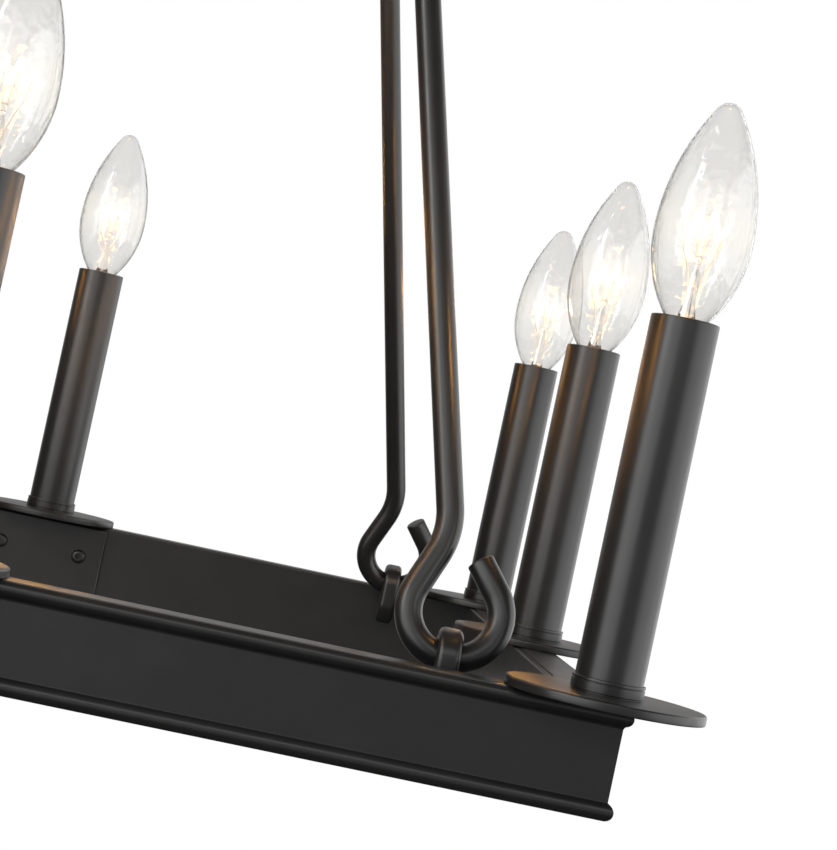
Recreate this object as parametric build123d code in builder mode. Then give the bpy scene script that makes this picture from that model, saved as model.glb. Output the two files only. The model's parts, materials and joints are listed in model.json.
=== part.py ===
from build123d import *
import os
from math import acos, atan2, cos, degrees, radians, sin, tan

# Square candle chandelier: a moulded rail frame with eight candles hangs by four hooked rods from a hub.
# Millimetres. The origin is on the ceiling above the middle, +Z is up and +X runs right along the front rail.

os.makedirs("parts", exist_ok=True)

# Fits
slip_fit = 0.15  # radial gap of pieces that slide together
running_fit = 0.05  # radial gap of the swivel pins in their ears
bulb_fit = 0.1  # radial gap of a bulb cap in its socket shell
seat_gap = 0.3  # gap under a bulb's contact and beside the cross block
cutter_length = 12.0  # of the tools that cut holes through sheets

# Candles
candle_pitch = 242.0  # from one candle to the next along a rail
disc_diameter = 70.3
disc_thickness = 3.5
disc_round = 1.0
cup_wall = 0.7
cup_height = 5.0
cup_floor = 1.2
cup_groove_drop = 1.2
cup_groove = 0.3
tube_diameter = 24.0
tube_wall = 1.2
tube_lip = 0.4
tube_rim = 130.8  # top of the tube above the top of the disc

# Candle fixing and socket
nipple_diameter = 8.0
nipple_bore = 5.0
nipple_above_cup = 12.0
nut_width = 10.4
nut_height = 4.0
nipple_below_nut = 1.5
riser_wall = 2.0
socket_diameter = 20.8
socket_sink = 7.5  # top of the socket below the rim of the tube
socket_floor = 6.0
shell_wall = 0.5

# Bulb, heights from the rim of its tube
bulb_diameter = 34.6
bulb_belly = 29.0
bulb_tip = 76.3
bulb_foot_radius = 47.7  # of the outline below the belly
bulb_crown_radius = 84.0  # of the outline above the belly
bulb_shoulder_turn = 36.0
bulb_glass = 0.8
neck_diameter = 10.6
neck_top = -7.0
neck_bottom = -15.0
cap_diameter = 11.9
cap_wall = 0.6
cap_top = -8.0
cap_height = 13.0
contact_diameter = 5.0
contact_height = 3.5
lead_diameter = 0.6

# Glass stem inside a bulb: radius and height of its outline, from the flare in the neck to the button on top
stem_outline = [
    (4.45, -15.0),
    (4.45, -12.0),
    (4.0, -4.0),
    (3.0, 2.0),
    (2.0, 6.0),
    (1.7, 12.0),
    (1.5, 16.5),
    (0.8, 18.0),
    (0.8, 19.5),
    (1.5, 20.5),
    (1.4, 22.0),
    (0.6, 22.6),
]

# Wires inside a bulb: half their spread and their height
lead_points = [(1.2, 10.0), (2.2, 16.5), (6.6, 25.0), (7.5, 34.0)]
support_points = [(0.6, 21.0), (2.6, 38.5)]

# Rail section, reaches measured from the candle line
rail_height = 38.5
nose_reach = 9.8
nose_radius = 2.9
cove_radius = 1.5
web_reach = 7.15
bead_reach = 9.45
bead_radius = 3.2
bead_root = 0.5
inner_reach = 11.0
sheet = 1.5
strip_thickness = 3.0
strip_drop = 0.4  # top of the strip below the top of the channel
strip_round = 0.6
cover_thickness = 1.5

# Splice plates and their screws
plate_length = 68.0
plate_height = 36.5
plate_thickness = 1.8
plate_round = 1.4
plate_screw_pitch = 42.4
screw_drop = 17.7  # below the top of the rail
screw_shank = 4.0
screw_head = 7.5
screw_head_height = 2.2
screw_head_round = 1.8
screw_socket = 2.6
screw_socket_depth = 2.6

# Hooked rods and the eyes that they hang in
rod_diameter = 10.0
rod_end_bevel = 0.8
hook_radius = 16.5
hook_tail = 12.8
hook_tail_angle = 24.0
hook_lead_angle = 35.0
hook_lead_radius = 30.0
hook_gap = 0.5
eye_place = 187.6  # from the middle of the front and back rails
eye_width = 8.6
eye_bar = 5.2
eye_straight = 10.0
eye_round = 2.3
eye_rise = 13.3  # top of a rail eye above the rail
eye_to_eye = 689.0  # height from the rail eyes to the hub eyes

# Hub and stem
hub_diameter = 57.8
hub_height = 40.0
hub_wall = 5.0
hub_top_wall = 10.0
hub_flat = 1.5
hub_round = 3.0
hub_cover_thickness = 3.0
hub_cover_round = 1.0
stem_diameter = 12.7
stem_bore = 9.0
stem_length = 300.0
stem_grip = 10.0
stem_nut_width = 19.0
stem_nut_height = 5.0
finial_gap = 0.9  # from the knob to the flange of the cord bushing beside it
finial_stud_fit = 0.2
finial_neck_angle = 40.0
finial_collar_share = 0.33  # of the knob's radius
finial_drop_share = 1.3  # of the knob's radius
bushing_diameter = 10.0
bushing_bore = 5.5
bushing_flange = 2.0
bushing_place = 150.0  # of the frame's inlet, from the middle of the left rail

# Ceiling fitting
bracket_length = 104.0
bracket_width = 20.0
bracket_thickness = 2.0
bracket_corner = 5.0
box_screw_pitch = 88.9
box_slot_length = 12.0
box_slot_width = 4.8
canopy_diameter = 130.0
canopy_height = 28.0
canopy_round = 22.0
canopy_wall = 1.2
canopy_stud_pitch = 70.0
canopy_stud = 4.0
cap_nut_diameter = 9.0
cap_nut_height = 8.0
cap_nut_round = 3.0
cap_nut_hole = 4.8
ceiling_nipple_diameter = 9.7
ceiling_nipple_bore = 7.0
locknut_width = 16.0
locknut_height = 4.0

# Swivel
yoke_diameter = 22.0
yoke_boss = 8.0
yoke_reach = 12.0
ear_thickness = 3.5
ear_width = 10.0
block_side = 12.0
block_round = 0.8
pin_diameter = 5.0
stem_boss = 14.0

# Wiring
wire_diameter = 4.0
drop_diameter = 2.6
wire_corner = 3.0

# Levels and shared places that follow from the sizes above
swivel_z = -(canopy_height + yoke_boss + yoke_reach)
stem_boss_top = swivel_z - yoke_reach
stem_boss_bottom = stem_boss_top - stem_boss
hub_top = stem_boss_bottom - stem_length
hub_bottom = hub_top - hub_height
eye_bore = rod_diameter / 2 + hook_gap
hub_eye_middle = hub_top - hub_height / 2
hub_eye_z = hub_eye_middle - eye_straight / 2
rail_eye_z = hub_eye_z - eye_to_eye
rail_top = rail_eye_z + eye_bore + eye_bar - eye_rise
rail_bottom = rail_top - rail_height
disc_top = rail_top + disc_thickness
rim_z = disc_top + tube_rim
flange_reach = inner_reach - strip_thickness
cup_diameter = tube_diameter + 2 * (slip_fit + cup_wall)
socket_top = rim_z - socket_sink
shell_radius = cap_diameter / 2 + bulb_fit
contact_z = rim_z + cap_top - cap_height - contact_height
shell_floor = contact_z - seat_gap
socket_bottom = shell_floor - shell_wall - socket_floor
inner_face = candle_pitch - inner_reach
hub_flat_radius = hub_diameter / 2 - hub_flat
hub_eye_radius = hub_flat_radius + eye_bar + eye_bore
bushing_flange_radius = bushing_diameter / 2 + bushing_flange
hub_bushing_place = hub_diameter / 2 - hub_wall - bushing_flange_radius
finial_radius = hub_bushing_place - bushing_flange_radius - finial_gap

candle_places = {
    "front_left": (-candle_pitch, -candle_pitch),
    "front_middle": (0.0, -candle_pitch),
    "front_right": (candle_pitch, -candle_pitch),
    "right_middle": (candle_pitch, 0.0),
    "back_right": (candle_pitch, candle_pitch),
    "back_middle": (0.0, candle_pitch),
    "back_left": (-candle_pitch, candle_pitch),
    "left_middle": (-candle_pitch, 0.0),
}


def candle_spots(z):
    """The eight candle axes at one height."""
    return [(x, y, z) for x, y in candle_places.values()]


def save(piece, name):
    """Labels a finished piece and writes its file."""
    piece.label = name
    export_step(piece, f"parts/{name}.step")


# Line of the rods: each hook's bearing point lies in its eye, and the shaft points through both hooks
rail_eye = Vector(eye_place, -(inner_face - eye_bar - eye_bore), rail_eye_z)
hook_centre = rail_eye
for _ in range(10):
    bearing = atan2(-hook_centre.Y, hook_centre.X)
    hub_eye = Vector(hub_eye_radius * cos(bearing), -hub_eye_radius * sin(bearing), hub_eye_z)
    rod_axis = (hub_eye - hook_centre).normalized()
    hook_rise = Vector(0, rod_axis.Y, rod_axis.Z).normalized()
    hook_centre = rail_eye + hook_rise * hook_radius
hub_hook_centre = hub_eye - rod_axis * hook_radius
rail_hook_side = (Vector(1, 0, 0) - rod_axis * rod_axis.X).normalized()
hub_hook_side = rod_axis.cross(Vector(0, 0, 1)).normalized()

# Hanger rods


def hook_points(centre, side, away):
    """Points of an open hook from its tip to its shaft: side is across the loop, away is along the shaft."""

    def at(across, along):
        return centre + side * across + away * along

    tail = radians(hook_tail_angle)
    lead = radians(hook_lead_angle)
    crossing = hook_radius / sin(lead)
    reach = hook_lead_radius * tan(lead / 2)

    def on_loop(angle):
        return at(hook_radius * cos(angle), hook_radius * sin(angle))

    tip = at(hook_radius * cos(tail) - hook_tail * sin(tail), hook_radius * sin(tail) + hook_tail * cos(tail))
    loop = [on_loop(tail + (radians(-180) - lead - tail) * step / 4) for step in range(5)]
    bend_start = at(-reach * sin(lead), crossing - reach * cos(lead))
    bend_middle = at(
        -hook_lead_radius * (1 - cos(lead / 2)),
        crossing + reach - hook_lead_radius * sin(lead / 2),
    )
    shaft = at(0, crossing + reach)
    return [tip, *loop, bend_start, bend_middle, shaft]


def hook_lines(p):
    """Tail, two loop arcs, lead and bend of one hook."""
    Line(p[0], p[1])
    ThreePointArc(p[1], p[2], p[3])
    ThreePointArc(p[3], p[4], p[5])
    Line(p[5], p[6])
    ThreePointArc(p[6], p[7], p[8])


rail_hook = hook_points(hook_centre, rail_hook_side, rod_axis)
hub_hook = hook_points(hub_hook_centre, hub_hook_side, rod_axis * -1)

with BuildPart() as hanger_rod:
    with BuildLine() as rod_line:
        hook_lines(rail_hook)
        Line(rail_hook[8], hub_hook[8])
        hook_lines(hub_hook)
    with BuildSketch(Plane(origin=rail_hook[0], z_dir=rail_hook[1] - rail_hook[0])):
        Circle(rod_diameter / 2)
    sweep(path=rod_line.line)
    for tip in (rail_hook[0], hub_hook[0]):
        chamfer(hanger_rod.edges().filter_by(GeomType.CIRCLE).sort_by_distance(tip)[0], rod_end_bevel)
save(hanger_rod.part, "hanger_rod_front_right")

with BuildPart() as front_left_rod:
    mirror(hanger_rod.part, about=Plane.YZ)
save(front_left_rod.part, "hanger_rod_front_left")

with BuildPart() as back_right_rod:
    mirror(hanger_rod.part, about=Plane.XZ)
save(back_right_rod.part, "hanger_rod_back_right")

with BuildPart() as back_left_rod:
    add(hanger_rod.part, rotation=(0, 0, 180))
save(back_left_rod.part, "hanger_rod_back_left")

# Eyes


def eye_ring(place):
    """Closed bar ring with straight sides, upright on a plane whose normal is the axis of its hole."""
    with BuildPart() as ring:
        with BuildSketch(place):
            SlotCenterToCenter(eye_straight, 2 * (eye_bore + eye_bar), rotation=90)
            SlotCenterToCenter(eye_straight, 2 * eye_bore, rotation=90, mode=Mode.SUBTRACT)
        extrude(amount=eye_width / 2, both=True)
        sides = [face for face in ring.faces() if abs(face.normal_at().dot(place.z_dir)) > 0.999]
        fillet(ShapeList(sides).edges(), eye_round)
    return ring.part


rail_eye_plane = Plane(
    origin=(rail_eye.X, rail_eye.Y, rail_eye_z - eye_straight / 2), x_dir=(0, 1, 0), z_dir=(1, 0, 0)
)
front_right_eye = eye_ring(rail_eye_plane)
save(front_right_eye, "rail_eye_front_right")

with BuildPart() as front_left_eye:
    mirror(front_right_eye, about=Plane.YZ)
save(front_left_eye.part, "rail_eye_front_left")

with BuildPart() as back_right_eye:
    mirror(front_right_eye, about=Plane.XZ)
save(back_right_eye.part, "rail_eye_back_right")

with BuildPart() as back_left_eye:
    add(front_right_eye, rotation=(0, 0, 180))
save(back_left_eye.part, "rail_eye_back_left")

hub_bearings = [degrees(bearing), 180 - degrees(bearing), 180 + degrees(bearing), -degrees(bearing)]
hub_eye_rings = []
for angle in hub_bearings:
    outward = Vector(cos(radians(angle)), sin(radians(angle)), 0)
    spot = outward * hub_eye_radius + Vector(0, 0, hub_eye_middle)
    hub_eye_rings.append(eye_ring(Plane(origin=spot, x_dir=outward, z_dir=outward.cross(Vector(0, 0, 1)))))
with BuildPart() as hub_eyes:
    add(hub_eye_rings)
save(hub_eyes.part, "hub_eyes")

# Rail frame: each half runs from the middle of the front rail round the side to the middle of the back rail

with BuildLine() as half_frame_line:
    Polyline(
        (0, -candle_pitch),
        (candle_pitch, -candle_pitch),
        (candle_pitch, candle_pitch),
        (0, candle_pitch),
    )
half_frame_path = half_frame_line.line.moved(Location((0, 0, rail_top)))

# Section plane: x is outwards from the candle line and y is down from the top of the rail
section_plane = Plane(origin=(0, -candle_pitch, rail_top), x_dir=(0, -1, 0), z_dir=(1, 0, 0))

with BuildPart() as right_channel:
    with BuildSketch(section_plane):
        with BuildLine():
            web_inside = web_reach - sheet
            nose_middle = nose_reach - nose_radius
            cove_middle = web_reach + cove_radius
            cove_turn = acos((cove_middle - nose_middle) / (nose_radius + cove_radius))
            cove_end = nose_radius + (nose_radius + cove_radius) * sin(cove_turn)
            bead_middle = bead_reach - bead_radius
            root_middle = web_reach + bead_root
            root_turn = acos((root_middle - bead_middle) / (bead_radius + bead_root))
            bead_top = rail_height - bead_radius - (bead_radius + bead_root) * sin(root_turn)
            Line((-flange_reach, 0), (nose_middle, 0))
            CenterArc((nose_middle, nose_radius), nose_radius, -90, 90 + degrees(cove_turn))
            CenterArc((cove_middle, cove_end), cove_radius, 180 + degrees(cove_turn), -degrees(cove_turn))
            Line((web_reach, cove_end), (web_reach, bead_top))
            CenterArc((root_middle, bead_top), bead_root, 180, -degrees(root_turn))
            CenterArc(
                (bead_middle, rail_height - bead_radius),
                bead_radius,
                -degrees(root_turn),
                90 + degrees(root_turn),
            )
            Polyline(
                (bead_middle, rail_height),
                (web_inside, rail_height),
                (web_inside, sheet),
                (-flange_reach, sheet),
                (-flange_reach, 0),
            )
        make_face()
    sweep(path=half_frame_path, transition=Transition.RIGHT)
    with Locations(*candle_spots(rail_top)):
        Cylinder(nipple_diameter / 2 + slip_fit, cutter_length, mode=Mode.SUBTRACT)
save(right_channel.part, "rail_channel_right")

with BuildPart() as left_channel:
    add(right_channel.part, rotation=(0, 0, 180))
save(left_channel.part, "rail_channel_left")

screw_reach = plate_screw_pitch / 2
screw_places = [(x, face) for face in (-inner_face, inner_face) for x in (-screw_reach, screw_reach)]
screw_z = rail_top - screw_drop
plate_z = rail_top - rail_height / 2
inlet = Vector(-inner_face, bushing_place, rail_top - rail_height / 2)
with BuildPart() as right_strip:
    with BuildSketch(section_plane) as strip_corners:
        with Locations((-inner_reach + strip_thickness / 2, (rail_height + strip_drop) / 2)):
            Rectangle(strip_thickness, rail_height - strip_drop)
        fillet(strip_corners.vertices().sort_by(Axis.Y)[:2], strip_round)
    sweep(path=half_frame_path, transition=Transition.RIGHT)
    for x, y in screw_places:
        with Locations(Plane(origin=(x, y, screw_z), z_dir=(0, 1, 0))):
            Cylinder(screw_shank / 2 + running_fit, cutter_length, mode=Mode.SUBTRACT)
save(right_strip.part, "inner_strip_right")

with BuildPart() as left_strip:
    add(right_strip.part, rotation=(0, 0, 180))
    with Locations(Plane(origin=inlet, z_dir=(1, 0, 0))):
        Cylinder(bushing_diameter / 2 + running_fit, cutter_length, mode=Mode.SUBTRACT)
save(left_strip.part, "inner_strip_left")

with BuildPart() as right_cover:
    with BuildSketch(section_plane):
        with Locations(((web_inside - flange_reach) / 2, rail_height - cover_thickness / 2)):
            Rectangle(web_inside + flange_reach - 2 * running_fit, cover_thickness)
    sweep(path=half_frame_path, transition=Transition.RIGHT)
save(right_cover.part, "rail_cover_right")

with BuildPart() as left_cover:
    add(right_cover.part, rotation=(0, 0, 180))
save(left_cover.part, "rail_cover_left")

# Splice plates and screws

with BuildPart() as front_plate:
    with BuildSketch(Plane(origin=(0, -inner_face, plate_z), x_dir=(-1, 0, 0), z_dir=(0, 1, 0))):
        Rectangle(plate_length, plate_height)
        with Locations(*[(x, screw_z - plate_z) for x in (-screw_reach, screw_reach)]):
            Circle(screw_shank / 2 + slip_fit, mode=Mode.SUBTRACT)
    extrude(amount=plate_thickness)
    fillet(front_plate.faces().sort_by(Axis.Y)[-1].outer_wire().edges(), plate_round)
save(front_plate.part, "splice_plate_front")

with BuildPart() as back_plate:
    mirror(front_plate.part, about=Plane.XZ)
save(back_plate.part, "splice_plate_back")

with BuildPart() as splice_screws:
    for x, y in screw_places:
        inward = Vector(0, -1 if y > 0 else 1, 0)
        seat = Plane(origin=Vector(x, y, screw_z) + inward * plate_thickness, z_dir=inward)
        with BuildSketch(seat):
            Circle(screw_head / 2)
        extrude(amount=screw_head_height)
        with BuildSketch(seat):
            Circle(screw_shank / 2)
        extrude(amount=-(plate_thickness + strip_thickness))
    rims = splice_screws.edges().filter_by(GeomType.CIRCLE)
    head_y = inner_face - plate_thickness - screw_head_height
    fillet([rim for rim in rims if abs(abs(rim.center().Y) - head_y) < 0.01], screw_head_round)
    for x, y in screw_places:
        inward = Vector(0, -1 if y > 0 else 1, 0)
        face_of_head = Vector(x, y, screw_z) + inward * (plate_thickness + screw_head_height)
        with BuildSketch(Plane(origin=face_of_head, z_dir=inward)):
            RegularPolygon(screw_socket / 2, 6, major_radius=False)
        extrude(amount=-screw_socket_depth, mode=Mode.SUBTRACT)
save(splice_screws.part, "splice_screws")

# Candle stack: disc, cup, tube and the pieces that hold them on the rail

with BuildPart() as drip_plates:
    with BuildSketch(Plane.XY.offset(rail_top)):
        with Locations(*[(x, y) for x, y in candle_places.values()]):
            Circle(disc_diameter / 2)
            Circle(nipple_diameter / 2 + slip_fit, mode=Mode.SUBTRACT)
    extrude(amount=disc_thickness)
    disc_edges = drip_plates.edges().filter_by(GeomType.CIRCLE).filter_by_position(
        Axis.Z, disc_top - 0.01, disc_top + 0.01
    )
    fillet([edge for edge in disc_edges if edge.radius > disc_diameter / 4], disc_round)
save(drip_plates.part, "drip_plates")


def candle_group(section):
    """Turns a section about each of the eight candle axes; its points are radius and height above the disc."""
    with BuildPart() as group:
        for spot in candle_spots(disc_top):
            with BuildSketch(Plane(origin=spot, x_dir=(1, 0, 0), z_dir=(0, -1, 0))):
                with BuildLine():
                    Polyline(*section, close=True)
                make_face()
            revolve(axis=Axis(spot, (0, 0, 1)))
    return group.part


def sleeve(inner, outer, low, high):
    """Section of a plain sleeve."""
    return [(inner, low), (outer, low), (outer, high), (inner, high)]


cup_hole = nipple_diameter / 2 + slip_fit
cup_bore = tube_diameter / 2 + slip_fit
cup_side = cup_diameter / 2
groove_z = cup_height - cup_groove_drop
cup_section = [
    (cup_hole, 0),
    (cup_side - cup_groove, 0),
    (cup_side - cup_groove, cup_groove),
    (cup_side, 2 * cup_groove),
    (cup_side, groove_z - cup_groove),
    (cup_side - cup_groove, groove_z),
    (cup_side, groove_z + cup_groove),
    (cup_side, cup_height - cup_groove),
    (cup_side - cup_groove, cup_height),
    (cup_bore, cup_height),
    (cup_bore, cup_floor),
    (cup_hole, cup_floor),
]
save(candle_group(cup_section), "candle_cups")

tube_outside = tube_diameter / 2
tube_inside = tube_outside - tube_wall
tube_section = [
    (tube_inside, cup_floor),
    (tube_outside, cup_floor),
    (tube_outside, tube_rim - tube_lip),
    (tube_outside - tube_lip, tube_rim),
    (tube_inside + tube_lip, tube_rim),
    (tube_inside, tube_rim - tube_lip),
]
save(candle_group(tube_section), "candle_tubes")

nut_top = -disc_thickness - sheet
nipple_low = nut_top - nut_height - nipple_below_nut
nipple_high = cup_floor + nipple_above_cup
save(candle_group(sleeve(nipple_bore / 2, nipple_diameter / 2, nipple_low, nipple_high)), "candle_nipples")

with BuildPart() as nipple_nuts:
    with BuildSketch(Plane.XY.offset(disc_top + nut_top)):
        with Locations(*[(x, y) for x, y in candle_places.values()]):
            Rectangle(nut_width, nut_width)
            Circle(nipple_diameter / 2 + running_fit, mode=Mode.SUBTRACT)
    extrude(amount=-nut_height)
save(nipple_nuts.part, "nipple_nuts")

riser_bore = nipple_diameter / 2 + running_fit
riser_top = socket_bottom - disc_top
save(candle_group(sleeve(riser_bore, riser_bore + riser_wall, cup_floor, riser_top)), "socket_risers")

socket_high = socket_top - disc_top
well_radius = shell_radius + shell_wall
well_floor = shell_floor - shell_wall - disc_top
socket_section = [
    (0, riser_top),
    (socket_diameter / 2, riser_top),
    (socket_diameter / 2, socket_high),
    (well_radius, socket_high),
    (well_radius, well_floor),
    (0, well_floor),
]
save(candle_group(socket_section), "socket_bodies")

shell_section = [
    (0, well_floor),
    (well_radius, well_floor),
    (well_radius, socket_high),
    (shell_radius, socket_high),
    (shell_radius, well_floor + shell_wall),
    (0, well_floor + shell_wall),
]
save(candle_group(shell_section), "socket_shells")

# Bulbs: a blown globe with a glass stem sealed in its neck, and a screw cap with leads and a filament


def globe_form(inset):
    """Solid of the blown glass, drawn in from the outside by an inset."""
    belly = bulb_diameter / 2 - inset
    neck = neck_diameter / 2 - inset
    foot = neck_bottom - inset
    tip = bulb_tip - inset
    turn = radians(bulb_shoulder_turn)
    foot_radius = bulb_foot_radius - inset
    shoulder = (belly - foot_radius * (1 - cos(turn)), bulb_belly - foot_radius * sin(turn))
    crown_radius = bulb_crown_radius - inset
    crown_x = belly - crown_radius
    rise = tip - bulb_belly
    tip_radius = (crown_radius**2 - crown_x**2 - rise**2) / (2 * (crown_radius - rise))
    lean = Vector(-crown_x, rise - tip_radius).normalized() * tip_radius
    upper = (lean.X, tip - tip_radius + lean.Y)
    with BuildPart() as form:
        with BuildSketch(Plane.XZ):
            with BuildLine():
                Polyline((0, tip), (0, foot), (neck, foot), (neck, neck_top))
                TangentArc((neck, neck_top), shoulder, tangent=(0, 1))
                TangentArc((belly, bulb_belly), shoulder, tangent=(0, -1))
                TangentArc((belly, bulb_belly), upper, tangent=(0, 1))
                RadiusArc(upper, (0, tip), -tip_radius)
            make_face()
        revolve(axis=Axis.Z)
    return form.part


with BuildPart() as globe:
    add(globe_form(0))
    add(globe_form(bulb_glass), mode=Mode.SUBTRACT)

with BuildPart() as bulb_cap:
    with BuildSketch(Plane.XZ):
        with BuildLine():
            outside = cap_diameter / 2
            inside = outside - cap_wall
            low = cap_top - cap_height
            Polyline(
                (0, low - contact_height),
                (contact_diameter / 2, low - contact_height),
                (contact_diameter / 2, low - contact_height / 2),
                (outside, low),
                (outside, cap_top),
                (inside, cap_top),
                (inside, low + cap_wall),
                (0, low + cap_wall),
                close=True,
            )
        make_face()
    revolve(axis=Axis.Z)

with BuildPart() as bulb_stem:
    with BuildSketch(Plane.XZ):
        with BuildLine():
            Polyline((0, stem_outline[0][1]), *stem_outline, (0, stem_outline[-1][1]), close=True)
        make_face()
    revolve(axis=Axis.Z)

with BuildPart() as bulb_wires:
    right_lead = [(x, 0, z) for x, z in lead_points]
    right_support = [(x, 0, z) for x, z in support_points]
    left_lead = [(-x, 0, z) for x, z in lead_points]
    left_support = [(-x, 0, z) for x, z in support_points]
    filament_run = [*right_lead, right_support[1], left_support[1], *left_lead[::-1]]
    for points in (filament_run, right_support, left_support):
        with BuildLine() as wire_run:
            Polyline(*points)
        with BuildSketch(Plane(origin=wire_run.line @ 0, z_dir=wire_run.line % 0)):
            Circle(lead_diameter / 2)
        sweep(path=wire_run.line, transition=Transition.RIGHT)
    add(bulb_stem.part, mode=Mode.SUBTRACT)

bulb_pieces = {
    "bulb_glass": [globe.part, bulb_stem.part],
    "bulb_metal": [bulb_cap.part, bulb_wires.part],
}
for place, (x, y) in candle_places.items():
    for kind, pieces in bulb_pieces.items():
        with BuildPart() as placed:
            with Locations((x, y, rim_z)):
                add(pieces)
        save(placed.part, f"{kind}_{place}")

# Wiring: a loop on the rail covers with a drop up through each nipple to its socket

with BuildPart() as wiring:
    wire_half = candle_pitch + (web_inside - flange_reach) / 2
    wire_z = rail_bottom + cover_thickness + wire_diameter / 2
    with BuildLine() as wire_line:
        FilletPolyline(
            (wire_half, -wire_half, wire_z),
            (wire_half, wire_half, wire_z),
            (-wire_half, wire_half, wire_z),
            (-wire_half, -wire_half, wire_z),
            radius=wire_corner,
            close=True,
        )
    with BuildSketch(Plane(origin=wire_line.line @ 0, z_dir=wire_line.line % 0)):
        Circle(wire_diameter / 2)
    sweep(path=wire_line.line)
    with BuildSketch(Plane.XY.offset(wire_z)):
        with Locations(*[(x, y) for x, y in candle_places.values()]):
            Circle(drop_diameter / 2)
    extrude(amount=socket_bottom - wire_z)
save(wiring.part, "wiring_harness")

# Hub, cover and finial

with BuildPart() as hub:
    with BuildSketch(Plane.XY.offset(hub_bottom)):
        Circle(hub_diameter / 2)
    extrude(amount=hub_height)
    fillet(hub.faces().sort_by(Axis.Z)[-1].edges(), hub_round)
    with BuildSketch(Plane.XY.offset(hub_bottom)):
        Circle(hub_diameter / 2 - hub_wall)
    extrude(amount=hub_height - hub_top_wall, mode=Mode.SUBTRACT)
    with BuildSketch(Plane.XY.offset(hub_top)):
        Circle(stem_diameter / 2 + running_fit)
    extrude(amount=-hub_height, mode=Mode.SUBTRACT)
    for angle in hub_bearings:
        outward = Vector(cos(radians(angle)), sin(radians(angle)), 0)
        flat = Plane(origin=outward * hub_flat_radius + Vector(0, 0, hub_eye_middle), z_dir=outward)
        with BuildSketch(flat):
            Rectangle(hub_diameter, 2 * hub_diameter)
        extrude(amount=hub_diameter, mode=Mode.SUBTRACT)
save(hub.part, "hub_body")

stem_end = hub_top - hub_top_wall - stem_nut_height - stem_grip / 2
with BuildPart() as hub_cover:
    with BuildSketch(Plane.XY.offset(hub_bottom)):
        Circle(hub_diameter / 2)
        Circle(stem_bore / 2, mode=Mode.SUBTRACT)
        with Locations((hub_bushing_place, 0)):
            Circle(bushing_diameter / 2 + running_fit, mode=Mode.SUBTRACT)
    extrude(amount=-hub_cover_thickness)
    fillet(hub_cover.faces().sort_by(Axis.Z)[0].outer_wire().edges(), hub_cover_round)
save(hub_cover.part, "hub_cover")

with BuildPart() as finial:
    knob_top = hub_bottom - hub_cover_thickness
    stud_top = stem_end + stem_grip / 2
    with BuildSketch(Plane.XZ):
        with BuildLine():
            stud = stem_bore / 2 - finial_stud_fit
            collar_z = knob_top - finial_radius * finial_collar_share
            ball_z = knob_top - finial_radius * finial_drop_share
            neck = Vector(finial_radius, 0).rotate(Axis.Z, finial_neck_angle)
            Polyline(
                (0, stud_top),
                (stud, stud_top),
                (stud, knob_top),
                (finial_radius, knob_top),
                (finial_radius, collar_z),
                (neck.X, ball_z + neck.Y),
            )
            CenterArc((0, ball_z), finial_radius, finial_neck_angle, -90 - finial_neck_angle)
            Line((0, ball_z - finial_radius), (0, stud_top))
        make_face()
    revolve(axis=Axis.Z)
save(finial.part, "hub_finial")


def bushing(spot, grip):
    """Flanged bushing pressed into a plate, its flange on a plane that faces out."""
    with BuildPart() as sleeve_and_flange:
        with BuildSketch(spot):
            Circle(bushing_diameter / 2)
            Circle(bushing_bore / 2, mode=Mode.SUBTRACT)
        extrude(amount=-grip)
        with BuildSketch(spot):
            Circle(bushing_flange_radius)
            Circle(bushing_bore / 2, mode=Mode.SUBTRACT)
        extrude(amount=bushing_flange)
    return sleeve_and_flange.part


hub_cord_exit = Plane(origin=(hub_bushing_place, 0, hub_bottom - hub_cover_thickness), z_dir=(0, 0, -1))
save(bushing(hub_cord_exit, hub_cover_thickness), "hub_bushing")
save(bushing(Plane(origin=inlet, z_dir=(1, 0, 0)), strip_thickness), "rail_bushing")

# Stem

with BuildPart() as stem:
    with BuildSketch(Plane.XY.offset(stem_end)):
        Circle(stem_diameter / 2)
        Circle(stem_bore / 2, mode=Mode.SUBTRACT)
    extrude(amount=stem_boss_bottom + stem_grip - stem_end)
save(stem.part, "stem_tube")

with BuildPart() as stem_nut:
    with BuildSketch(Plane.XY.offset(hub_top - hub_top_wall)):
        RegularPolygon(stem_nut_width / 2, 6, major_radius=False)
        Circle(stem_diameter / 2 + running_fit, mode=Mode.SUBTRACT)
    extrude(amount=-stem_nut_height)
save(stem_nut.part, "stem_locknut")

# Swivel: two yokes at right angles on a cross block


def yoke(boss_low, boss_high, hole, hole_low, hole_high, across):
    """Round boss with two ears that hold pins; across is the direction of the pin."""
    ear_inner = block_side / 2 + seat_gap
    with BuildPart() as fork:
        with BuildSketch(Plane.XY.offset(boss_low)):
            Circle(yoke_diameter / 2)
        extrude(amount=boss_high - boss_low)
        for way in (across * -1, across):
            with BuildSketch(Plane(origin=way * ear_inner + Vector(0, 0, swivel_z), z_dir=way)):
                Circle(ear_width / 2)
            extrude(amount=ear_thickness)
            toward = boss_low if boss_low > swivel_z else boss_high
            middle = way * (ear_inner + ear_thickness / 2) + Vector(0, 0, (swivel_z + toward) / 2)
            thick = ear_thickness if across.X else ear_width
            wide = ear_width if across.X else ear_thickness
            with Locations(middle):
                Box(thick, wide, abs(toward - swivel_z))
        with BuildSketch(Plane(origin=Vector(0, 0, swivel_z), z_dir=across)):
            Circle(pin_diameter / 2 + running_fit)
        extrude(amount=yoke_diameter, both=True, mode=Mode.SUBTRACT)
        with BuildSketch(Plane.XY.offset(hole_low)):
            Circle(hole)
        extrude(amount=hole_high - hole_low, mode=Mode.SUBTRACT)
    return fork.part


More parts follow.
